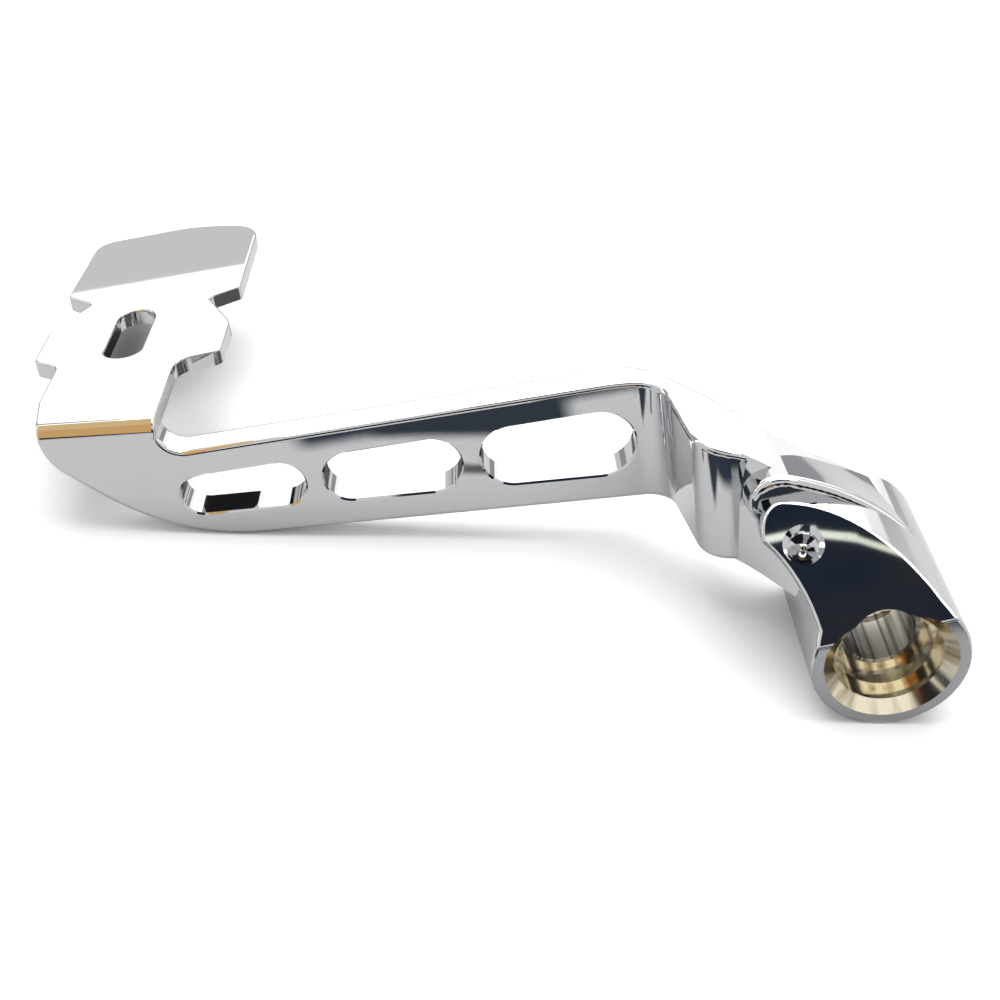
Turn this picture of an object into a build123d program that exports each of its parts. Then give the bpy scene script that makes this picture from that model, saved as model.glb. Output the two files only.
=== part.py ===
from build123d import *
import os
from math import asin, atan2, cos, radians, sin, tan

os.makedirs("parts", exist_ok=True)

# Rear brake pedal of a motorcycle, in millimetres.
# The origin is the middle of the pivot bore. The pivot axis is Y, the arm runs
# towards -X, the pad plate stands out towards +Y, and Z is up.

# Pivot barrel
barrel_length = 53.5
barrel_edge_round = 0.8
hull_inset = 0.4

# Pivot bore, from the shaft outwards: bush, seal seat, washer seat, bevel, end land
shaft_bore = 17.5
bush_wall = 1.2
seal_shoulder = 1.25
washer_shoulder = 1.75
bevel_width = 2.9
end_land = 2.95
seal_seat_depth = 12.0
washer_seat_depth = 6.0
bevel_depth = 2.5
bush_gap = 2.0
bush_seam_width = 0.5
bush_seam_angle = 20.0

# Arm, seen from the side
arm_thickness = 9.5
top_slope = 12.45
top_height_at_pivot = 46.4
bottom_slope = 8.4
bottom_height_at_pivot = 4.95
crest_slope = 22.5
crest_radius = 75.0
belly_radius = 60.0
toe_slope = 34.6
toe_radius = 15.0
toe_reach = 213.3
toe_wall = 10.0673
arm_edge_round = 1.6

# Arm, seen from above: it steps sideways between the barrel and the pad
arm_offset = 27.3
root_thickness = 14.5
step_x = -47.0
step_height = 36.0
step_near_angle = 80.0
step_near_place = -0.4
step_near_outer_radius = 8.0
step_near_inner_radius = 9.0
step_far_angle = 42.0
step_far_place = 7.7
step_far_outer_radius = 14.0
step_far_inner_radius = 25.0

# Flare of the arm's near side towards the barrel: a line inside the arm's upper
# edge and a line below the arm. Each pair is a place along the arm from the step
# and a share of the step's whole depth.
flare_over = 3.0
flare_under = 40.0
flare_upper = ((7.0, 0.12), (12.0, 0.06), (18.0, 0.05), (24.0, 0.05), (40.0, 0.05))
flare_lower = ((7.0, 0.12), (11.8, -0.05), (15.8, -0.23), (21.0, -0.5), (40.0, -1.1))

# Slots through the arm, each between two rounded ends
slot_land = 8.2
slot_from_toe = 42.0
slot_ends = ((-170.3, -149.2), (-130.1, -108.5), (-86.3, -63.8))
slot_chamfer = 0.5

# Pad plate
pad_slope = 6.3
pad_thickness = 4.8
pad_over_line = 12.6273
pad_fold_round = 4.5
pad_fold_land = 0.3
pad_trunk_length = 34.7
pad_foot_side = 15.2
pad_neck_run = 4.0
pad_lobe_side = 18.6
pad_lobe_run = 17.2
pad_notch_run = 6.4
pad_notch_depth = 9.1
pad_head_length = 49.0
pad_half_width = 27.0
pad_left_shoulder = 7.6
pad_right_shoulder = 12.4
pad_toe_taper = 2.8
pad_edge_round = 0.8
neck_radius = 7.0

# Corners of the pad's far edge, against its length and its half width
pad_far_right_drop = 1.5
pad_far_crown = 1.0
pad_far_crown_inset = 22.0
pad_far_left_drop = 9.0
pad_far_left_inset = 1.0

# Corner radii of the pad, from the fold round its right side to the far edge
pad_neck_radius = 6.0
pad_lobe_radius = 3.5
pad_lobe_shoulder_radius = 9.0
pad_notch_radius = 2.6
pad_head_radius = 2.2
pad_far_right_radius = 10.0
pad_far_crown_radius = 40.0
pad_far_left_radius = 8.0
pad_left_neck_radius = 3.0
pad_foot_radius = 12.0

# Slot in the pad plate
pad_slot_width = 11.0
pad_slot_length = 30.5
pad_slot_from_notch = 21.4
pad_slot_shift = -2.1

# Root boss, the ear of the arm where it meets the barrel
boss_front = 2.2
boss_tip = (-24.3, 24.4)
boss_tip_radius = 7.5
boss_top_radius = 60.0
boss_back_tip = (-24.3, 20.6)
boss_back_top_radius = 300.0
boss_edge_round = 2.0

# Lobe that stands in front of the root boss
lobe_tip = (-23.4, 20.0)
lobe_tip_radius = 6.2
lobe_top_radius = 42.0
lobe_edge_round = 1.0
flank_start = 20.0
flank_radius = 22.0
flank_foot = 18.0

# Slanted face across the lobe and the top of the barrel
slant_angle = 50.0
slant_roll = 17.3
slant_height = 8.6
slant_x = -3.5

# Blind port in the slanted face
port_along = -20.2
port_reach = -7.9
port_mouth_diameter = 9.8
port_diameter = 7.2
port_bevel_depth = 1.1
port_depth = 4.0
port_point_angle = 59.0

half_barrel = barrel_length / 2
bush_diameter = shaft_bore + 2 * bush_wall
seal_seat_diameter = bush_diameter + 2 * seal_shoulder
washer_seat_diameter = seal_seat_diameter + 2 * washer_shoulder
barrel_radius = washer_seat_diameter / 2 + bevel_width + end_land
bush_length = half_barrel - seal_seat_depth - bush_gap / 2
hull_radius = barrel_radius - hull_inset
arm_far_root = half_barrel - barrel_edge_round
arm_near_root = arm_far_root - root_thickness
arm_far = arm_far_root + arm_offset
arm_near = arm_far - arm_thickness
pad_notch_half_width = pad_half_width - pad_notch_depth
pad_trunk_left = pad_half_width - pad_left_shoulder
pad_trunk_right = pad_half_width - pad_right_shoulder
pad_toe = pad_trunk_left - pad_toe_taper
pad_centre_x = pad_toe - toe_reach
pad_fold_radius = min(pad_fold_round, pad_thickness - pad_fold_land)
pad_foot_reach = arm_near + pad_foot_side
pad_neck_reach = arm_near + pad_trunk_length
pad_lobe_start = pad_neck_reach + pad_neck_run
pad_lobe_reach = pad_lobe_start + pad_lobe_side
pad_notch_reach = pad_lobe_reach + pad_lobe_run
pad_head_reach = pad_notch_reach + pad_notch_run
pad_far_reach = pad_head_reach + pad_head_length
pad_slot_reach = pad_notch_reach - pad_slot_from_notch
big = 400.0
overrun = 1.0
nearly = 0.01


def top_line(x):
    """Height of the arm's upper line at x."""
    return top_height_at_pivot + x * tan(radians(top_slope))


def bottom_line(x):
    """Height of the arm's lower line at x."""
    return bottom_height_at_pivot + x * tan(radians(bottom_slope))


def pad_top(x):
    """Height of the pad's upper face at x."""
    return top_line(pad_centre_x) + pad_over_line + (x - pad_centre_x) * tan(radians(pad_slope))


def side_face(outline, y):
    """Face in the plane at y from a closed outline drawn in X and Z."""
    return Plane.XZ.offset(-y) * make_face(outline)


def between(outline, y_near, y_far):
    """Solid of a side outline from y_near to y_far."""
    return extrude(side_face(outline, y_far), y_far - y_near)


def hull_outline(tip, tip_radius, top_radius):
    """Outline of the barrel circle with an ear that ends in a round tip.

    The upper side is an arc that touches both circles. The lower side falls
    from the tip and runs into the barrel in a hollow curve.
    """
    reach = Vector(*tip).length
    to_barrel = top_radius - hull_radius
    to_tip = top_radius - tip_radius
    along = (to_barrel ** 2 - to_tip ** 2 + reach ** 2) / (2 * reach)
    across = (to_barrel ** 2 - along ** 2) ** 0.5
    towards_tip = Vector(*tip).normalized()
    outwards = Vector(towards_tip.Y, -towards_tip.X)
    centre = towards_tip * along - outwards * across
    on_barrel = centre + (-centre).normalized() * top_radius
    on_tip = centre + (Vector(*tip) - centre).normalized() * top_radius
    left = Vector(*tip) + Vector(-tip_radius, 0).rotate(Axis.Z, flank_start)
    tip_top = Vector(*tip) + Vector(-tip_radius, 0).rotate(Axis.Z, -flank_start)
    foot = Vector(-hull_radius, 0).rotate(Axis.Z, -flank_foot)
    outline = Curve() + RadiusArc(on_tip, on_barrel, top_radius)
    outline += ThreePointArc(on_tip, tip_top, left)
    outline += RadiusArc(left, foot, flank_radius)
    outline += Line(foot, (0, 0))
    outline += Line((0, 0), on_barrel)
    return outline


def crest_tangent():
    """Point where the line over the arm's root touches the barrel."""
    return (hull_radius * sin(radians(crest_slope)), hull_radius * cos(radians(crest_slope)))


def crest_corner():
    """Point where the arm's upper line meets the line over its root."""
    tx, tz = crest_tangent()
    fall = tan(radians(crest_slope))
    rise = tan(radians(top_slope))
    x = (tz + fall * tx - top_height_at_pivot) / (rise + fall)
    return (x, top_line(x))


def belly_corner():
    """Point where the arm's lower line meets the rising toe line."""
    fall = tan(radians(toe_slope))
    rise = tan(radians(bottom_slope))
    toe_corner = pad_top(-toe_reach) - toe_wall
    x = (toe_corner - fall * toe_reach - bottom_height_at_pivot) / (rise + fall)
    return (x, bottom_line(x))


def arm_side():
    """Closed outline of the arm seen from the side."""
    neck_x = pad_centre_x + pad_trunk_right * cos(radians(pad_slope))
    points = [
        (-toe_reach, pad_top(-toe_reach)),
        (-toe_reach, pad_top(-toe_reach) - toe_wall),
        belly_corner(),
        (0, bottom_height_at_pivot),
        crest_tangent(),
        crest_corner(),
        (neck_x, top_line(neck_x)),
        (neck_x, pad_top(neck_x)),
    ]
    radii = [0, toe_radius, belly_radius, 0, 0, crest_radius, neck_radius, 0]
    return rounded_outline(points, radii)


def rounded_outline(points, radii):
    """Closed outline through the points, each corner with its own radius."""
    corners = [Vector(*point) for point in points]
    outline = Curve()
    end = None
    backs = corners[-1:] + corners[:-1]
    aheads = corners[1:] + corners[:1]
    for back, here, ahead, radius in zip(backs, corners, aheads, radii):
        towards_back = (back - here).normalized()
        towards_ahead = (ahead - here).normalized()
        half = radians(towards_back.get_angle(towards_ahead)) / 2
        cut = radius / tan(half)
        start = here + towards_back * cut
        if end is None:
            first = start
        else:
            outline += Line(end, start)
        end = here + towards_ahead * cut
        if radius:
            inward = (towards_back + towards_ahead).normalized()
            middle = here + inward * (radius / sin(half) - radius)
            outline += ThreePointArc(start, middle, end)
    return outline + Line(end, first)


def arm_plane():
    """Plane across the arm, square to its middle line, at the sideways step."""
    lean = radians((top_slope + bottom_slope) / 2)
    return Plane(
        origin=(step_x, 0, step_height),
        x_dir=(cos(lean), 0, sin(lean)),
        z_dir=(-sin(lean), 0, cos(lean)),
    )


def step_corners(place, angle, y_arm, y_root):
    """Both corners of a step from the arm's depth to the depth of its root."""
    run = (y_arm - y_root) / tan(radians(angle)) / 2
    return (place - run, y_arm), (place + run, y_root)


def arm_plan():
    """Closed outline of the arm seen from above, with the step to its root."""
    near_outer, near_inner = step_corners(step_near_place, step_near_angle, arm_near, arm_near_root)
    far_outer, far_inner = step_corners(step_far_place, step_far_angle, arm_far, arm_far_root)
    end = big / 2
    corners = [
        (-end, arm_near, 0),
        (*near_outer, step_near_outer_radius),
        (*near_inner, step_near_inner_radius),
        (end, arm_near_root, 0),
        (end, arm_far_root, 0),
        (*far_inner, step_far_inner_radius),
        (*far_outer, step_far_outer_radius),
        (-end, arm_far, 0),
    ]
    points = [(x, y) for x, y, _ in corners]
    return rounded_outline(points, [radius for _, _, radius in corners])


def arm_blank():
    """Arm without slots: its side view crossed with its plan."""
    side = between(arm_side(), 0, arm_far + arm_thickness)
    plan = arm_plane().offset(-big / 4) * make_face(arm_plan())
    return side & extrude(plan, big / 2)


def slots():
    """Both end places of each slot that the arm is long enough for."""
    return [ends for ends in slot_ends if ends[0] > slot_from_toe - toe_reach]


def slot_outline(x_start, x_end):
    """Slot between two rounded ends that keep an even land to the arm's edges."""
    lean = radians((top_slope + bottom_slope) / 2)
    ends = []
    for x in (x_start, x_end):
        height = (top_line(x) - bottom_line(x)) / 2
        ends.append((x, (top_line(x) + bottom_line(x)) / 2, height * cos(lean) - slot_land))
    (x1, z1, r1), (x2, z2, r2) = ends
    along = atan2(z2 - z1, x2 - x1)
    flare = asin((r2 - r1) / ((x2 - x1) ** 2 + (z2 - z1) ** 2) ** 0.5)
    upper = along + radians(90) + flare
    lower = along - radians(90) - flare
    a = (x1 + r1 * cos(upper), z1 + r1 * sin(upper))
    b = (x2 + r2 * cos(upper), z2 + r2 * sin(upper))
    c = (x2 + r2 * cos(lower), z2 + r2 * sin(lower))
    d = (x1 + r1 * cos(lower), z1 + r1 * sin(lower))
    right = (x2 + r2 * cos(along), z2 + r2 * sin(along))
    left = (x1 - r1 * cos(along), z1 - r1 * sin(along))
    outline = Line(a, b) + ThreePointArc(b, right, c) + Line(c, d) + ThreePointArc(d, left, a)
    return outline


def pad_plane():
    """Plane of the pad's upper face, with its own Y along the pivot axis."""
    lean = radians(pad_slope)
    return Plane(
        origin=(pad_centre_x, 0, pad_top(pad_centre_x)),
        x_dir=(cos(lean), 0, sin(lean)),
        z_dir=(-sin(lean), 0, cos(lean)),
    )


def pad_outline():
    """Closed outline of the pad plate in its own plane."""
    w = pad_half_width
    notch = pad_notch_half_width
    fold_left = pad_toe / cos(radians(pad_slope))
    corners = [
        (pad_trunk_right, arm_near, 0),
        (pad_trunk_right, pad_neck_reach, pad_neck_radius),
        (w, pad_lobe_start, pad_lobe_radius),
        (w, pad_lobe_reach, pad_lobe_shoulder_radius),
        (notch, pad_notch_reach, pad_notch_radius),
        (w, pad_head_reach, pad_head_radius),
        (w, pad_far_reach - pad_far_right_drop, pad_far_right_radius),
        (w - pad_far_crown_inset, pad_far_reach + pad_far_crown, pad_far_crown_radius),
        (pad_far_left_inset - w, pad_far_reach - pad_far_left_drop, pad_far_left_radius),
        (-w, pad_head_reach, pad_head_radius),
        (-notch, pad_notch_reach, pad_notch_radius),
        (-w, pad_lobe_reach, pad_lobe_shoulder_radius),
        (-w, pad_lobe_start, pad_lobe_radius),
        (-pad_trunk_left, pad_neck_reach, pad_left_neck_radius),
        (-pad_trunk_left, pad_foot_reach, pad_foot_radius),
        (-fold_left, arm_near, 0),
    ]
    points = [(x, y) for x, y, _ in corners]
    return rounded_outline(points, [radius for _, _, radius in corners])


def pad_plate():
    """Pad plate with its slot."""
    plane = pad_plane()
    plate = extrude(plane * make_face(pad_outline()), -pad_thickness)
    slot = SlotOverall(pad_slot_length, pad_slot_width, rotation=90)
    place = plane * Pos(pad_slot_shift, pad_slot_reach, -2 * pad_thickness)
    return plate - extrude(place * slot, 3 * pad_thickness)


def slant_plane():
    """Plane of the slanted face, its normal pointing out of the metal."""
    lean = radians(slant_angle)
    roll = radians(slant_roll)
    normal = (-sin(roll) * sin(lean), -cos(lean), cos(roll) * sin(lean))
    origin = (slant_x, -half_barrel, slant_height)
    return Plane(origin=origin, x_dir=(cos(roll), 0, sin(roll)), z_dir=normal)


def on_boss_front(edge):
    """Whether an edge lies in the front face of the root boss."""
    return abs((edge @ 0).Y - boss_front) < nearly and abs((edge @ 1).Y - boss_front) < nearly


def on_slant(edge):
    """Whether an edge lies in the slanted face."""
    return all(abs(slant_plane().to_local_coords(edge @ part).Z) < nearly for part in (0, 0.5, 1))


def hub():
    """Barrel with the root boss and the lobe, cut by the slanted face."""
    barrel = Plane.XZ.offset(-half_barrel) * Circle(barrel_radius)
    barrel = extrude(barrel, barrel_length)
    barrel = fillet(barrel.edges().filter_by(GeomType.CIRCLE), barrel_edge_round)
    boss_side = hull_outline(boss_tip, boss_tip_radius, boss_top_radius)
    back_side = hull_outline(boss_back_tip, boss_tip_radius, boss_back_top_radius)
    lobe_side = hull_outline(lobe_tip, lobe_tip_radius, lobe_top_radius)
    boss_back = arm_far_root - arm_edge_round
    boss = loft([side_face(boss_side, boss_front), side_face(back_side, boss_back)], ruled=True)
    boss = fillet(boss.edges().filter_by(GeomType.CIRCLE).filter_by(on_boss_front), boss_edge_round)
    lobe = between(lobe_side, barrel_edge_round - half_barrel, boss_front)
    front = barrel + lobe
    cutter = extrude(slant_plane() * Rectangle(big, big), big)
    keep = Pos(0, boss_front - big / 2, 0) * Box(big, big, big)
    front -= cutter & keep
    return fillet(front.edges().filter_by(on_slant), lobe_edge_round) + boss


def flare_line(line, height):
    """Line of the flare's near side, at a height over the step's plane."""
    depth = arm_near - arm_near_root
    points = [(place, arm_near_root + share * depth) for place, share in line]
    return arm_plane().offset(height) * Spline(*points)


def root_flare():
    """Wedge that carries the arm's near face down into the barrel's side."""
    upper = flare_line(flare_upper, flare_over)
    lower = flare_line(flare_lower, -flare_under)
    near = Face.make_surface_from_curves(upper.edge(), lower.edge())
    side = between(arm_side(), barrel_edge_round - half_barrel, arm_far_root - arm_edge_round)
    return extrude(near, barrel_length, dir=(0, 1, 0)) & side


def bore_cutter():
    """Everything turned out of the barrel, as one solid of revolution."""
    r0 = bush_diameter / 2
    r1 = seal_seat_diameter / 2
    r2 = washer_seat_diameter / 2
    end = half_barrel
    half = [
        (0, end + overrun),
        (r2 + bevel_width + overrun * bevel_width / bevel_depth, end + overrun),
        (r2, end - bevel_depth),
        (r2, end - washer_seat_depth),
        (r1, end - washer_seat_depth),
        (r1, end - seal_seat_depth),
        (r0, end - seal_seat_depth),
    ]
    mirrored = [(x, -y) for x, y in reversed(half)]
    profile = make_face(Polyline(*half, *mirrored, close=True))
    return revolve(profile, Axis.Y)


def port_cutter():
    """Blind port, bevelled at its mouth and ending in a drill point."""
    mouth = port_mouth_diameter / 2
    hole = port_diameter / 2
    point = hole / tan(radians(port_point_angle))
    outline = Polyline(
        (0, overrun),
        (mouth, overrun),
        (mouth, 0),
        (hole, -port_bevel_depth),
        (hole, -port_depth),
        (0, -port_depth - point),
        close=True,
    )
    tool = revolve(make_face(Plane.XZ * outline), Axis.Z)
    plane = slant_plane()
    normal = plane.z_dir
    away = plane.origin - Vector(port_along, port_reach, 0)
    height = (away.X * normal.X + away.Y * normal.Y + away.Z * normal.Z) / normal.Z
    seat = Plane(origin=(port_along, port_reach, height), x_dir=plane.x_dir, z_dir=normal)
    return seat.location * tool


def along_arm(edge):
    """Whether an edge of the arm blank is one of its long edges, to be rounded."""
    middle = edge.center()
    if middle.X > -barrel_radius / 4:
        return False
    pad_end = pad_centre_x + pad_trunk_right + arm_edge_round
    if middle.X < pad_end and middle.Z > pad_top(middle.X) - pad_thickness:
        return False
    if edge.geom_type == GeomType.LINE:
        run = (edge @ 1 - edge @ 0).normalized()
        return abs(run.Y) < 0.9 and abs(run.dot(arm_plane().z_dir)) < 0.999
    return True


def on_pad_top(edge):
    """Place of an edge's middle over the pad plane, or None off its top face."""
    middle = pad_plane().to_local_coords(edge.center())
    if abs(middle.Z) > nearly or abs(middle.X) > pad_half_width:
        return None
    return middle


def on_fold(edge):
    """Whether an edge is the corner between the pad's top and the arm's side."""
    middle = on_pad_top(edge)
    return middle is not None and abs(middle.Y - arm_near) < nearly


def on_rim(edge):
    """Whether an edge runs round the pad's top face, clear of the arm."""
    middle = on_pad_top(edge)
    return middle is not None and middle.Y > arm_far + overrun


def rounded_arm():
    """Arm and pad plate in one, with the fold and the edges rounded."""
    arm = arm_blank()
    arm = fillet(arm.edges().filter_by(along_arm), arm_edge_round)
    body = arm + pad_plate()
    body = fillet(body.edges().filter_by(on_fold), pad_fold_radius)
    return fillet(body.edges().filter_by(on_rim), pad_edge_round)


def on_slot_rim(edge):
    """Whether an edge runs round the mouth of one of the arm's slots."""
    middle = edge.center()
    if min(abs(middle.Y - arm_near), abs(middle.Y - arm_far)) > nearly:
        return False
    floor = bottom_line(middle.X) + slot_land / 2
    ceiling = top_line(middle.X) - slot_land / 2
    toe = slot_from_toe - slot_land - toe_reach
    return floor < middle.Z < ceiling and toe < middle.X < step_x


def pedal_arm():
    """The pedal as one forging, with all that is machined into it."""
    body = rounded_arm() + hub() + root_flare()
    for x_start, x_end in slots():
        body -= between(slot_outline(x_start, x_end), arm_near - overrun, arm_far + overrun)
    body = chamfer(body.edges().filter_by(on_slot_rim), slot_chamfer)
    body -= bore_cutter()
    body -= port_cutter()
    return body


def bush(side):
    """Wrapped bush with its seam, pressed in from one end."""
    tube = Circle(bush_diameter / 2) - Circle(shaft_bore / 2)
    seam = Pos(0, -bush_diameter / 2) * Rectangle(bush_seam_width, bush_diameter)
    seam = Rot(0, 0, -bush_seam_angle) * seam
    inner = side * bush_gap / 2
    plane = Plane.XZ.offset(-inner)
    return extrude(plane * (tube - seam), -side * bush_length)


if __name__ == "__main__":
    export_step(pedal_arm(), "parts/pedal_arm.step")
    export_step(bush(-1), "parts/outer_bush.step")
    export_step(bush(1), "parts/inner_bush.step")
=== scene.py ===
"""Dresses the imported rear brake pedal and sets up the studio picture."""

import logging
import math
from dataclasses import dataclass
from enum import Enum

import bpy
from mathutils import Matrix, Vector


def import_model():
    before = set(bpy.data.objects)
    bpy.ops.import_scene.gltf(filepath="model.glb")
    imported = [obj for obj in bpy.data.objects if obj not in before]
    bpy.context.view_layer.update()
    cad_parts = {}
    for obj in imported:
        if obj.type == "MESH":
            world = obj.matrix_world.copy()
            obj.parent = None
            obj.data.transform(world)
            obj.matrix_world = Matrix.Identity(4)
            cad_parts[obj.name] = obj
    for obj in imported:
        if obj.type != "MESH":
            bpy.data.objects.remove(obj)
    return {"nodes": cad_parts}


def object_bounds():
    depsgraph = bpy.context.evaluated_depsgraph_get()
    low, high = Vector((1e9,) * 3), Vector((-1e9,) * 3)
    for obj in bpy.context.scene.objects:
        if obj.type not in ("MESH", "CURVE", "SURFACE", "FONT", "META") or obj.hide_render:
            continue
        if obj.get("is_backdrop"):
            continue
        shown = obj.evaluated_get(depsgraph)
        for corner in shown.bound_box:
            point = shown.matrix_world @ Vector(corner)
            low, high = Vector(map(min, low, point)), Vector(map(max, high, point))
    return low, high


log = logging.getLogger("pedal_scene")

Colour = tuple[float, float, float]
Place = tuple[float, float, float]
Direction = tuple[float, float, float]
Span = tuple[float, float]

# A millimetre in metres.
MM = 0.001
# The narrowest rim over which a patch can fade, in millimetres.
SHARPEST_RIM = 0.1
# The node that a new material comes with.
SHADER = "Principled BSDF"
WHITE = (1.0, 1.0, 1.0)
BLACK = (0.0, 0.0, 0.0)


class Ray(Enum):
    """A kind of ray that passes the cards by, with its switch on an object."""

    CAMERA = "visible_camera"
    DIFFUSE = "visible_diffuse"
    SHADOW = "visible_shadow"


class Stand(Enum):
    """How a patch stands, as a turn about X in degrees."""

    LEVEL = 0.0
    UPRIGHT = 90.0


def deselect() -> None:
    """Deselects every object."""
    for selected in bpy.context.selected_objects:
        selected.select_set(False)


def opaque(colour: Colour) -> tuple[float, float, float, float]:
    """Adds an alpha of 1 to a colour."""
    return (*colour, 1.0)


def new_metal(name: str) -> bpy.types.Material:
    """Makes a plain metal material.

    Args:
        name: Name of the material.

    Returns:
        The new material.
    """
    material = bpy.data.materials.new(name)
    material.use_nodes = True
    shader = material.node_tree.nodes[SHADER]
    shader.inputs["Metallic"].default_value = 1.0
    return material


def add_place(tree: bpy.types.ShaderNodeTree) -> bpy.types.NodeSocket:
    """Adds a node that gives the place of a point on its object."""
    return tree.nodes.new("ShaderNodeTexCoord").outputs["Object"]


def add_cloud(
    tree: bpy.types.ShaderNodeTree,
    place: bpy.types.NodeSocket,
    scale: float,
    detail: float,
) -> bpy.types.NodeSocket:
    """Adds a soft noise.

    Args:
        tree: Node tree the node goes into.
        place: Output with the place that the noise is read at.
        scale: How finely the noise changes.
        detail: How many finer layers it has.

    Returns:
        Output with the noise, from 0 to 1.
    """
    cloud = tree.nodes.new("ShaderNodeTexNoise")
    cloud.inputs["Scale"].default_value = scale
    cloud.inputs["Detail"].default_value = detail
    tree.links.new(place, cloud.inputs["Vector"])
    return cloud.outputs["Fac"]


def add_range(
    tree: bpy.types.ShaderNodeTree,
    value: bpy.types.NodeSocket,
    source: Span = (0.0, 1.0),
    target: Span = (0.0, 1.0),
    eased: bool = False,
) -> bpy.types.NodeSocket:
    """Adds a node that maps one span of a value onto another.

    Args:
        tree: Node tree the node goes into.
        value: Output with the value.
        source: Ends of the span that the value comes from.
        target: Ends of the span that it is mapped onto.
        eased: Whether it leaves and reaches the ends softly.

    Returns:
        Output with the mapped value, which stays between the ends.
    """
    span = tree.nodes.new("ShaderNodeMapRange")
    span.interpolation_type = "SMOOTHSTEP" if eased else "LINEAR"
    for side, ends in (("From", source), ("To", target)):
        span.inputs[f"{side} Min"].default_value = ends[0]
        span.inputs[f"{side} Max"].default_value = ends[1]
    tree.links.new(value, span.inputs["Value"])
    return span.outputs["Result"]


def add_tint(
    tree: bpy.types.ShaderNodeTree,
    share: bpy.types.NodeSocket,
    first: Colour,
    second: Colour,
) -> bpy.types.NodeSocket:
    """Adds a mix of two colours.

    Args:
        tree: Node tree the node goes into.
        share: Output with the share of the second colour.
        first: Colour where the share is 0.
        second: Colour where the share is 1.

    Returns:
        Output with the mixed colour.
    """
    tint = tree.nodes.new("ShaderNodeMixRGB")
    tint.inputs["Color1"].default_value = opaque(first)
    tint.inputs["Color2"].default_value = opaque(second)
    tree.links.new(share, tint.inputs["Fac"])
    return tint.outputs["Color"]


def add_relief(
    tree: bpy.types.ShaderNodeTree,
    height: bpy.types.NodeSocket,
    strength: float,
    lift: float,
) -> None:
    """Gives the shader of a material a fine relief.

    Args:
        tree: Node tree of the material.
        height: Output with the height, from 0 to 1.
        strength: How strongly the relief shows.
        lift: Full height of the relief, in millimetres.
    """
    bump = tree.nodes.new("ShaderNodeBump")
    bump.inputs["Strength"].default_value = strength
    bump.inputs["Distance"].default_value = lift * MM
    tree.links.new(height, bump.inputs["Height"])
    tree.links.new(bump.outputs["Normal"], tree.nodes[SHADER].inputs["Normal"])


@dataclass(frozen=True)
class Chrome:
    """Bright plating with a very slight waviness and grain.

    Attributes:
        colour: Base colour of the metal.
        roughness: Roughness of the clean plating.
        grain: How far the roughness varies.
        ripple: Strength of the surface waviness.
        ripple_scale: How finely the waviness changes, per metre.
        ripple_detail: How many finer layers the waviness has.
        ripple_lift: Height of the waviness, in millimetres.
    """

    colour: Colour
    roughness: float
    grain: float
    ripple: float
    ripple_scale: float
    ripple_detail: float = 2.0
    ripple_lift: float = 0.1

    def build(self, name: str) -> bpy.types.Material:
        """Makes the material.

        Args:
            name: Name of the material.

        Returns:
            The new material.
        """
        material = new_metal(name)
        tree = material.node_tree
        shader = tree.nodes[SHADER]
        shader.inputs["Base Color"].default_value = opaque(self.colour)
        cloud = add_cloud(
            tree, add_place(tree), self.ripple_scale, self.ripple_detail
        )
        rough = (self.roughness, self.roughness + self.grain)
        tree.links.new(
            add_range(tree, cloud, target=rough), shader.inputs["Roughness"]
        )
        add_relief(tree, cloud, self.ripple, self.ripple_lift)
        return material


@dataclass(frozen=True)
class Turned:
    """Machined metal with fine rings and darker sectors round the pivot axis.

    Attributes:
        colour: Base colour of the metal.
        dark: Colour of its darker sectors.
        sectors: How finely the sectors follow each other.
        along: How far the sectors change along the axis.
        roughness: Roughness in the smoothest rings.
        rings: How finely the rings follow each other, per metre.
        depth: Strength of the rings' relief.
        sector_detail: How many finer layers the sectors have.
        sector_span: Noise at which a sector starts to darken, and is darkest.
        wander: How far the rings wander.
        grain: How much rougher the roughest rings are.
        ring_lift: Height of the rings' relief, in millimetres.
    """

    colour: Colour
    dark: Colour
    sectors: float
    along: float
    roughness: float
    rings: float
    depth: float
    sector_detail: float = 3.0
    sector_span: Span = (0.45, 0.65)
    wander: float = 0.4
    grain: float = 0.06
    ring_lift: float = 0.05

    def build(self, name: str) -> bpy.types.Material:
        """Makes the material.

        Args:
            name: Name of the material.

        Returns:
            The new material.
        """
        material = new_metal(name)
        tree = material.node_tree
        shader = tree.nodes[SHADER]
        place = add_place(tree)
        tree.links.new(
            self.add_sectors(tree, place), shader.inputs["Base Color"]
        )
        wave = tree.nodes.new("ShaderNodeTexWave")
        wave.bands_direction = "Y"
        wave.inputs["Scale"].default_value = self.rings
        wave.inputs["Distortion"].default_value = self.wander
        tree.links.new(place, wave.inputs["Vector"])
        rough = (self.roughness, self.roughness + self.grain)
        tree.links.new(
            add_range(tree, wave.outputs["Fac"], target=rough),
            shader.inputs["Roughness"],
        )
        add_relief(tree, wave.outputs["Fac"], self.depth, self.ring_lift)
        return material

    def add_sectors(
        self, tree: bpy.types.ShaderNodeTree, place: bpy.types.NodeSocket
    ) -> bpy.types.NodeSocket:
        """Adds nodes that darken the metal in sectors round the pivot axis.

        Args:
            tree: Node tree of the material.
            place: Output with the place of a point.

        Returns:
            Output with the metal's colour.
        """
        flatten = tree.nodes.new("ShaderNodeMapping")
        flatten.inputs["Scale"].default_value = (1.0, self.along, 1.0)
        tree.links.new(place, flatten.inputs["Vector"])
        angle = tree.nodes.new("ShaderNodeVectorMath")
        angle.operation = "NORMALIZE"
        tree.links.new(flatten.outputs["Vector"], angle.inputs[0])
        cloud = add_cloud(
            tree, angle.outputs["Vector"], self.sectors, self.sector_detail
        )
        share = add_range(tree, cloud, source=self.sector_span)
        return add_tint(tree, share, self.colour, self.dark)


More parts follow.
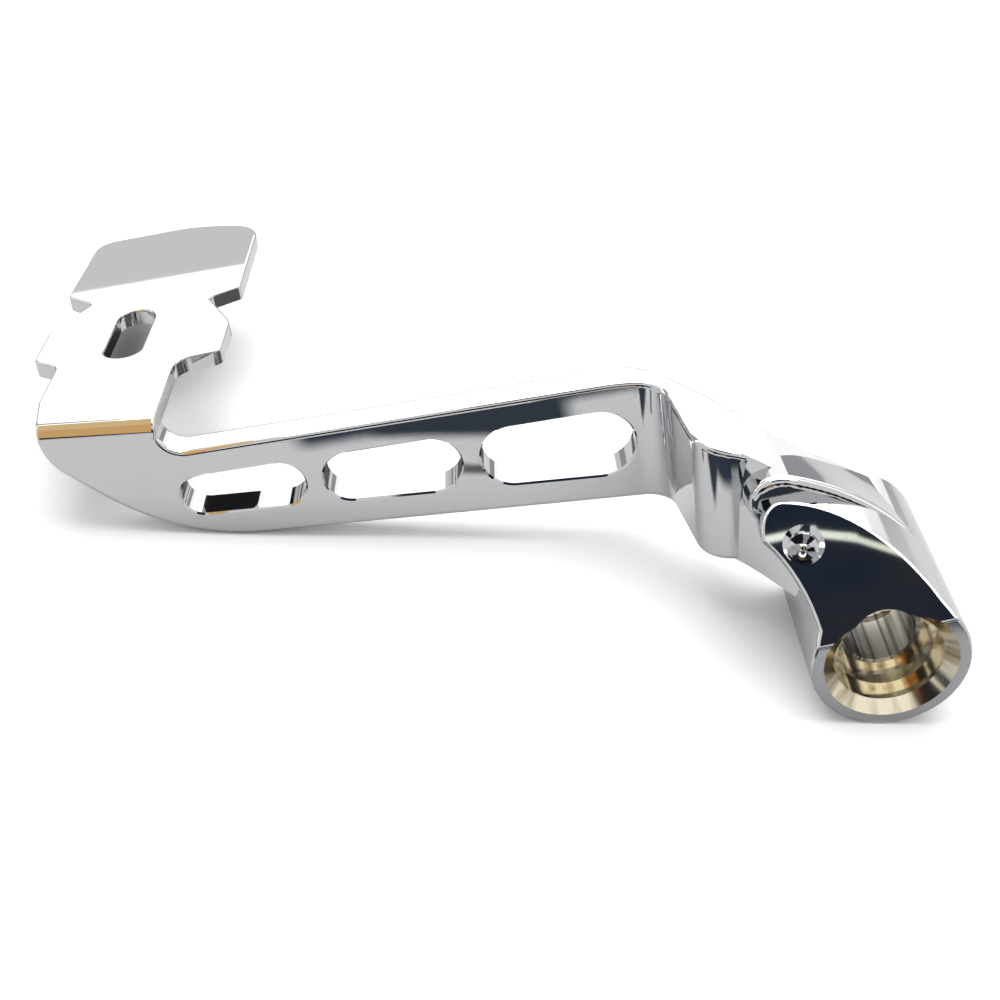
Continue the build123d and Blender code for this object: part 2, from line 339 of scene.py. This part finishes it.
@dataclass(frozen=True)
class Patch:
    """A rectangle whose rim fades out softly.

    Attributes:
        middle: Its middle, in millimetres.
        size: Width and height, in millimetres.
        soft: Width of the fading rim, in millimetres.
        stand: Whether it lies level or stands upright.
        spin: Turn about its own normal, in degrees.
    """

    middle: Place
    size: Span
    soft: float = 0.0
    stand: Stand = Stand.LEVEL
    spin: float = 0.0

    def turn(self) -> Matrix:
        """Gives the rectangle's turn as a 4 x 4 matrix."""
        stood = Matrix.Rotation(math.radians(self.stand.value), 4, "X")
        return stood @ Matrix.Rotation(math.radians(self.spin), 4, "Z")

    def mask(self, tree: bpy.types.ShaderNodeTree) -> bpy.types.NodeSocket:
        """Adds nodes that tell how far a point is inside.

        Args:
            tree: Node tree the nodes go into.

        Returns:
            Output that is 1 inside and falls to 0 over the rim.
        """
        local = tree.nodes.new("ShaderNodeMapping")
        local.vector_type = "TEXTURE"
        local.inputs["Location"].default_value = Vector(self.middle) * MM
        local.inputs["Rotation"].default_value = self.turn().to_euler("XYZ")
        tree.links.new(add_place(tree), local.inputs["Vector"])
        split = tree.nodes.new("ShaderNodeSeparateXYZ")
        tree.links.new(local.outputs["Vector"], split.inputs["Vector"])
        both = tree.nodes.new("ShaderNodeMath")
        both.operation = "MULTIPLY"
        rim = max(self.soft, SHARPEST_RIM)
        for slot, (axis, length) in enumerate(zip("XY", self.size)):
            away = tree.nodes.new("ShaderNodeMath")
            away.operation = "ABSOLUTE"
            tree.links.new(split.outputs[axis], away.inputs[0])
            fade = add_range(
                tree,
                away.outputs[0],
                source=((length / 2 - rim) * MM, length / 2 * MM),
                target=(1.0, 0.0),
                eased=True,
            )
            tree.links.new(fade, both.inputs[slot])
        return both.outputs[0]


@dataclass(frozen=True)
class Card:
    """A flat card round the pedal that shows only in reflections.

    Attributes:
        name: Name of the card.
        patch: Its place, size and soft rim.
        colour: Colour of its light.
        strength: Strength of its light.
        second: Colour of its softly mottled part, if it has one.
        density: How much it covers of what is behind it.
        mottle_scale: How finely it is mottled, per metre.
        mottle_detail: How many finer layers the mottling has.
        mottle_span: Noise at which the second colour starts, and is full.
    """

    name: str
    patch: Patch
    colour: Colour
    strength: float = 1.0
    second: Colour | None = None
    density: float = 1.0
    mottle_scale: float = 9.0
    mottle_detail: float = 2.0
    mottle_span: Span = (0.35, 0.65)

    def build(self) -> None:
        """Makes the card and marks it as staged."""
        deselect()
        bpy.ops.mesh.primitive_plane_add(size=1.0)
        card = bpy.context.object
        card.name = self.name
        width, height = self.patch.size
        scale = Matrix.Diagonal((width * MM, height * MM, 1.0, 1.0))
        move = Matrix.Translation(Vector(self.patch.middle) * MM)
        card.data.transform(move @ self.patch.turn() @ scale)
        card.data.materials.append(self.glow())
        for ray in Ray:
            setattr(card, ray.value, False)
        card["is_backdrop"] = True

    def glow(self) -> bpy.types.Material:
        """Makes the card's material, which only gives light.

        Returns:
            The new material.
        """
        material = bpy.data.materials.new(self.name)
        material.use_nodes = True
        tree = material.node_tree
        tree.nodes.clear()
        emit = tree.nodes.new("ShaderNodeEmission")
        emit.inputs["Color"].default_value = opaque(self.colour)
        emit.inputs["Strength"].default_value = self.strength
        if self.second is not None:
            tree.links.new(self.mottle(tree), emit.inputs["Color"])
        cover = tree.nodes.new("ShaderNodeMath")
        cover.operation = "MULTIPLY"
        cover.inputs[1].default_value = self.density
        tree.links.new(self.patch.mask(tree), cover.inputs[0])
        clear = tree.nodes.new("ShaderNodeBsdfTransparent")
        mix = tree.nodes.new("ShaderNodeMixShader")
        tree.links.new(cover.outputs[0], mix.inputs[0])
        tree.links.new(clear.outputs["BSDF"], mix.inputs[1])
        tree.links.new(emit.outputs["Emission"], mix.inputs[2])
        out = tree.nodes.new("ShaderNodeOutputMaterial")
        tree.links.new(mix.outputs["Shader"], out.inputs["Surface"])
        return material

    def mottle(self, tree: bpy.types.ShaderNodeTree) -> bpy.types.NodeSocket:
        """Adds nodes that mix the card's two colours softly.

        Args:
            tree: Node tree of the card's material.

        Returns:
            Output with the mixed colour.
        """
        cloud = add_cloud(
            tree, add_place(tree), self.mottle_scale, self.mottle_detail
        )
        share = add_range(tree, cloud, source=self.mottle_span)
        return add_tint(tree, share, self.colour, self.second)


@dataclass(frozen=True)
class Pedal:
    """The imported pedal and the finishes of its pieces.

    Attributes:
        nodes: The frame's CAD nodes by name.
        plating: Finish of the arm.
        bore: Finish of the arm's turned bore.
        bushing: Finish of both bushes.
        bore_radius: Distance from the axis, in millimetres, within which
            the bore's faces lie.
        bore_reach: Distance from the barrel's middle, in millimetres, within
            which its steps lie. The barrel's two ends are further out.
        step_slope: How far a step's normal points along the axis at least.
    """

    nodes: dict[str, bpy.types.Object]
    plating: Chrome = Chrome(
        colour=(0.60, 0.605, 0.615),
        roughness=0.015,
        grain=0.015,
        ripple=0.03,
        ripple_scale=40.0,
    )
    bore: Turned = Turned(
        colour=(0.94, 0.86, 0.66),
        dark=(0.42, 0.33, 0.20),
        sectors=3.2,
        along=0.3,
        roughness=0.10,
        rings=1500.0,
        depth=0.03,
    )
    bushing: Turned = Turned(
        colour=(0.46, 0.45, 0.43),
        dark=(0.17, 0.165, 0.155),
        sectors=7.0,
        along=0.0,
        roughness=0.22,
        rings=900.0,
        depth=0.06,
    )
    bore_radius: float = 16.0
    bore_reach: float = 26.0
    step_slope: float = 0.9

    def paint_arm(self) -> None:
        """Gives the arm its plating, and bare metal in its bore."""
        arm = self.nodes["pedal_arm"]
        arm.data.materials.clear()
        arm.data.materials.append(self.plating.build("chrome"))
        arm.data.materials.append(self.bore.build("bare_bore"))
        for face in arm.data.polygons:
            face.material_index = 1 if self.in_bore(face) else 0

    def paint_bushes(self) -> None:
        """Gives both bushes the same turned metal."""
        metal = self.bushing.build("bush_metal")
        for name in ("outer_bush", "inner_bush"):
            bush = self.nodes[name]
            bush.data.materials.clear()
            bush.data.materials.append(metal)

    def in_bore(self, face: bpy.types.MeshPolygon) -> bool:
        """Tells whether a face of the arm belongs to the turned bore.

        Args:
            face: Face of the arm's mesh.

        Returns:
            True for the bevels, the walls and the steps of the bore.
        """
        middle = face.center
        out = Vector((middle.x, 0.0, middle.z))
        if out.length > self.bore_radius * MM:
            return False
        if face.normal.dot(out) < 0.0:
            return True
        is_flat = abs(face.normal.y) > self.step_slope
        return is_flat and abs(middle.y) < self.bore_reach * MM


@dataclass(frozen=True)
class Floor:
    """Pale floor with a painted soft grey shadow under the pad.

    Attributes:
        height: Its height, in metres.
        side: Length of its sides, in metres.
        seen: Its colour in the picture and in the plating.
        lighting: Its colour for the light that it throws on the pedal.
        painted_shadow_colour: Colour of the painted shadow under the pad.
        painted_shadow_patch: Place and size of that painted shadow.
        roughness: Its roughness.
    """

    height: float
    side: float = 6.0
    seen: Colour = (0.93, 0.93, 0.93)
    lighting: Colour = (0.72, 0.72, 0.72)
    painted_shadow_colour: Colour = (0.2, 0.2, 0.2)
    # Painted shadow: the floor's colour is darker under the pad, where the pad shades it.
    painted_shadow_patch: Patch = Patch((-215.0, 161.0, 0.0), (50.0, 80.0), soft=25.0)
    roughness: float = 0.9

    def build(self) -> None:
        """Makes the floor and marks it as staged."""
        deselect()
        bpy.ops.mesh.primitive_plane_add(size=self.side)
        floor = bpy.context.object
        floor.name = "floor"
        floor.data.transform(Matrix.Translation((0.0, 0.0, self.height)))
        floor.data.materials.append(self.paint())
        floor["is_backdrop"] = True

    def paint(self) -> bpy.types.Material:
        """Makes the floor's material.

        Returns:
            The new material.
        """
        material = bpy.data.materials.new("floor")
        material.use_nodes = True
        tree = material.node_tree
        shader = tree.nodes[SHADER]
        shader.inputs["Roughness"].default_value = self.roughness
        shader.inputs["Specular IOR Level"].default_value = 0.0
        # Painted shadow: mixes a grey shadow under the pad into the floor's colour for the
        # camera and the plating.
        painted_shadow_patch = self.painted_shadow_patch.mask(tree)
        shade = tree.nodes.new("ShaderNodeMixRGB")
        shade.inputs["Color1"].default_value = opaque(self.lighting)
        tree.links.new(
            add_tint(tree, painted_shadow_patch, self.seen, self.painted_shadow_colour),
            shade.inputs["Color2"],
        )
        tree.links.new(self.add_seen(tree), shade.inputs["Fac"])
        tree.links.new(shade.outputs["Color"], shader.inputs["Base Color"])
        return material

    def add_seen(self, tree: bpy.types.ShaderNodeTree) -> bpy.types.NodeSocket:
        """Adds nodes that tell whether the floor is looked at.

        Args:
            tree: Node tree of the floor's material.

        Returns:
            Output that is 1 for the camera's rays, reflections and rays
            through glass, and 0 for the light between surfaces.
        """
        path = tree.nodes.new("ShaderNodeLightPath")
        seen = path.outputs["Is Camera Ray"]
        for kind in ("Is Glossy Ray", "Is Transmission Ray"):
            either = tree.nodes.new("ShaderNodeMath")
            either.operation = "MAXIMUM"
            tree.links.new(seen, either.inputs[0])
            tree.links.new(path.outputs[kind], either.inputs[1])
            seen = either.outputs[0]
        return seen


@dataclass(frozen=True)
class Lamp:
    """Large soft lamp overhead.

    Attributes:
        place: Its middle, in metres.
        size: Its two sides, in metres.
        power: Its power, in watts.
    """

    place: Place = (-0.05, 0.15, 0.75)
    size: Span = (0.9, 0.7)
    power: float = 6.0

    def build(self) -> None:
        """Makes the lamp, which shines straight down."""
        light = bpy.data.lights.new("overhead", "AREA")
        light.shape = "RECTANGLE"
        light.size, light.size_y = self.size
        light.energy = self.power
        lamp = bpy.data.objects.new("overhead", light)
        bpy.context.scene.collection.objects.link(lamp)
        lamp.location = self.place


@dataclass(frozen=True)
class View:
    """The photograph's viewing point, found in the pedal's own frame.

    Attributes:
        eye: Place of the camera, in millimetres.
        right: Direction towards the picture's right side.
        up: Direction towards the picture's upper side.
        back: Direction from the pedal towards the camera.
        lens: Focal length, in millimetres.
        sensor: Width of the sensor, in millimetres.
        shift: How far the frame is shifted right and up, in frame widths.
        nearest: Nearest distance that is seen, in metres.
    """

    eye: Place = (-106.07, -273.10, 211.15)
    right: Direction = (0.99878, -0.0204, 0.04504)
    up: Direction = (-0.02679, 0.54234, 0.83973)
    back: Direction = (-0.04156, -0.83991, 0.54113)
    lens: float = 50.4
    sensor: float = 36.0
    shift: Span = (0.001, -0.036)
    nearest: float = 0.01

    def build(self) -> None:
        """Makes the scene's camera."""
        data = bpy.data.cameras.new("camera")
        data.sensor_width = self.sensor
        data.lens = self.lens
        data.shift_x, data.shift_y = self.shift
        data.clip_start = self.nearest
        camera = bpy.data.objects.new("camera", data)
        bpy.context.scene.collection.objects.link(camera)
        turn = Matrix((self.right, self.up, self.back)).transposed()
        # The directions are rounded, and the quaternion squares them up.
        turn = turn.to_quaternion().to_matrix().to_4x4()
        camera.matrix_world = Matrix.Translation(Vector(self.eye) * MM) @ turn
        bpy.context.scene.camera = camera


@dataclass(frozen=True)
class Studio:
    """White surroundings, floor, cards, lamp and camera.

    Attributes:
        floor: The floor that the pedal lies on.
        lamp: The lamp overhead.
        view: The camera's place and lens.
        sky: Strength of the white world.
        cards: The cards that the metal mirrors.
    """

    floor: Floor
    lamp: Lamp = Lamp()
    view: View = View()
    sky: float = 0.9
    cards: tuple[Card, ...] = (
        # Overhead: a dark roof with three bright strips under it.
        Card(
            "navy_above",
            Patch((-20.0, -340.0, 600.0), (560.0, 220.0), soft=12.0),
            (0.008, 0.022, 0.050),
            second=(0.035, 0.036, 0.042),
        ),
        Card(
            "strip_left",
            Patch((-164.0, -315.0, 597.0), (58.0, 9.0), soft=3.0, spin=8.0),
            (0.92, 0.96, 0.84),
            strength=1.5,
        ),
        Card(
            "strip_middle",
            Patch((-128.0, -316.0, 596.0), (40.0, 9.5), soft=3.5, spin=-12.0),
            (0.92, 0.96, 0.82),
            strength=1.4,
        ),
        Card(
            "strip_right",
            Patch((-92.0, -329.0, 595.0), (60.0, 8.0), soft=3.5, spin=-26.0),
            (0.92, 0.96, 0.78),
            strength=1.3,
        ),
        # Warm cards close to the fold and to the barrel's bevel.
        Card(
            "warm_roof",
            Patch((-228.0, 34.0, 74.0), (84.0, 54.0), soft=3.0),
            (1.0, 0.70, 0.34),
        ),
        Card(
            "warm_by_fold",
            Patch((-228.0, 8.0, 46.0), (84.0, 62.0), 3.0, Stand.UPRIGHT),
            (1.0, 0.60, 0.24),
            strength=0.9,
        ),
        Card(
            "warm_by_bevel",
            Patch((-50.0, -95.0, 36.0), (40.0, 34.0), 8.0, Stand.UPRIGHT),
            (0.72, 0.40, 0.15),
        ),
        # Far walls, behind the pedal and in front of it.
        Card(
            "tent_wall",
            Patch((0.0, 700.0, 4254.0), (12000.0, 8000.0), 0.0, Stand.UPRIGHT),
            WHITE,
            strength=2.3,
        ),
        Card(
            "low_wall",
            Patch((0.0, 720.0, 200.0), (12000.0, 440.0), 0.0, Stand.UPRIGHT),
            (0.83, 0.85, 0.82),
        ),
        Card(
            "white_low",
            Patch((1350.0, 718.0, 200.0), (3000.0, 440.0), 60.0, Stand.UPRIGHT),
            WHITE,
            strength=1.5,
        ),
        Card(
            "grey_left",
            Patch((-1500.0, 690.0, 950.0), (1600.0, 2200.0), 160.0, Stand.UPRIGHT),
            (0.50, 0.51, 0.52),
        ),
        Card(
            "skirting",
            Patch((0.0, 715.0, 60.0), (12000.0, 200.0), 40.0, Stand.UPRIGHT),
            (0.40, 0.41, 0.43),
        ),
        Card(
            "dark_front",
            Patch((0.0, -800.0, 200.0), (2400.0, 440.0), 40.0, Stand.UPRIGHT),
            (0.012, 0.014, 0.020),
        ),
        Card(
            "grey_right",
            Patch((1250.0, 690.0, 1000.0), (1700.0, 3000.0), 300.0, Stand.UPRIGHT),
            (0.95, 0.95, 0.95),
        ),
        # Just above the floor, for the low sides of the pedal.
        Card(
            "navy_by_arm",
            Patch((-90.0, -44.0, -17.8), (150.0, 46.0), soft=9.0, spin=-22.0),
            (0.045, 0.060, 0.085),
        ),
        Card(
            "navy_low",
            Patch((-97.0, -23.0, -17.5), (72.0, 34.0), soft=8.0, spin=-4.0),
            (0.050, 0.062, 0.080),
        ),
        Card(
            "navy_by_root",
            Patch((-12.0, -98.0, -17.6), (140.0, 86.0), soft=9.0, spin=-4.0),
            (0.035, 0.045, 0.060),
        ),
        # Painted shade: a dark sheet on the shaded floor by the slots, seen only in
        # reflections.
        Card(
            "painted_shade_by_slots",
            Patch((-97.0, 8.5, -17.7), (18.0, 9.0), soft=4.0),
            (0.05, 0.05, 0.05),
            density=0.85,
        ),
        # Painted shade: a grey sheet for the hub's shadow on the floor in front of it,
        # seen only in reflections.
        Card(
            "painted_shade_by_hub",
            Patch((10.0, -45.0, -17.9), (90.0, 60.0), soft=14.0),
            (0.20, 0.20, 0.21),
            density=0.5,
        ),
        # Painted shade: a dark sheet on the shaded floor between the arm and the pad, seen
        # only in reflections.
        Card(
            "painted_shade_by_pad",
            Patch((-105.0, 84.0, -17.7), (90.0, 76.0), soft=14.0),
            (0.05, 0.05, 0.05),
            density=0.9,
        ),
        Card(
            "grey_floor",
            Patch((-60.0, -60.0, -18.5), (3000.0, 3000.0), soft=300.0),
            BLACK,
            density=0.39,
        ),
        # Painted shade: a near-black sheet on the floor under the pad, where the pad
        # shades it, seen only in reflections.
        Card(
            "painted_shade_under_pad",
            Patch((-192.0, 140.0, -17.6), (74.0, 84.0), soft=16.0),
            (0.01, 0.01, 0.01),
            density=0.95,
        ),
        # Painted shade: a dark sheet on the shaded floor by the notch behind the arm, seen
        # only in reflections.
        Card(
            "painted_shade_by_notch",
            Patch((-184.0, 66.0, -17.5), (60.0, 34.0), soft=12.0),
            (0.04, 0.04, 0.04),
            density=0.85,
        ),
    )

    def build(self) -> None:
        """Builds the whole surroundings."""
        self.make_world()
        self.floor.build()
        for card in self.cards:
            card.build()
        self.lamp.build()
        self.view.build()
        bpy.context.scene.view_settings.view_transform = "Standard"

    def make_world(self) -> None:
        """Makes the soft white world."""
        world = bpy.data.worlds.new("studio")
        bpy.context.scene.world = world
        world.use_nodes = True
        light = world.node_tree.nodes["Background"]
        light.inputs["Color"].default_value = opaque(WHITE)
        light.inputs["Strength"].default_value = self.sky


def main() -> None:
    """Loads the frame, dresses the pedal and sets the studio up."""
    logging.basicConfig(level=logging.INFO)
    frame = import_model()
    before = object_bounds()
    pedal = Pedal(frame["nodes"])
    pedal.paint_arm()
    log.info("dressed pedal_arm in chrome, with a bare bore")
    pedal.paint_bushes()
    log.info("dressed outer_bush and inner_bush in turned metal")
    studio = Studio(Floor(before[0][2]))
    studio.build()
    log.info("set up the studio with %d cards", len(studio.cards))


if __name__ == "__main__":
    main()
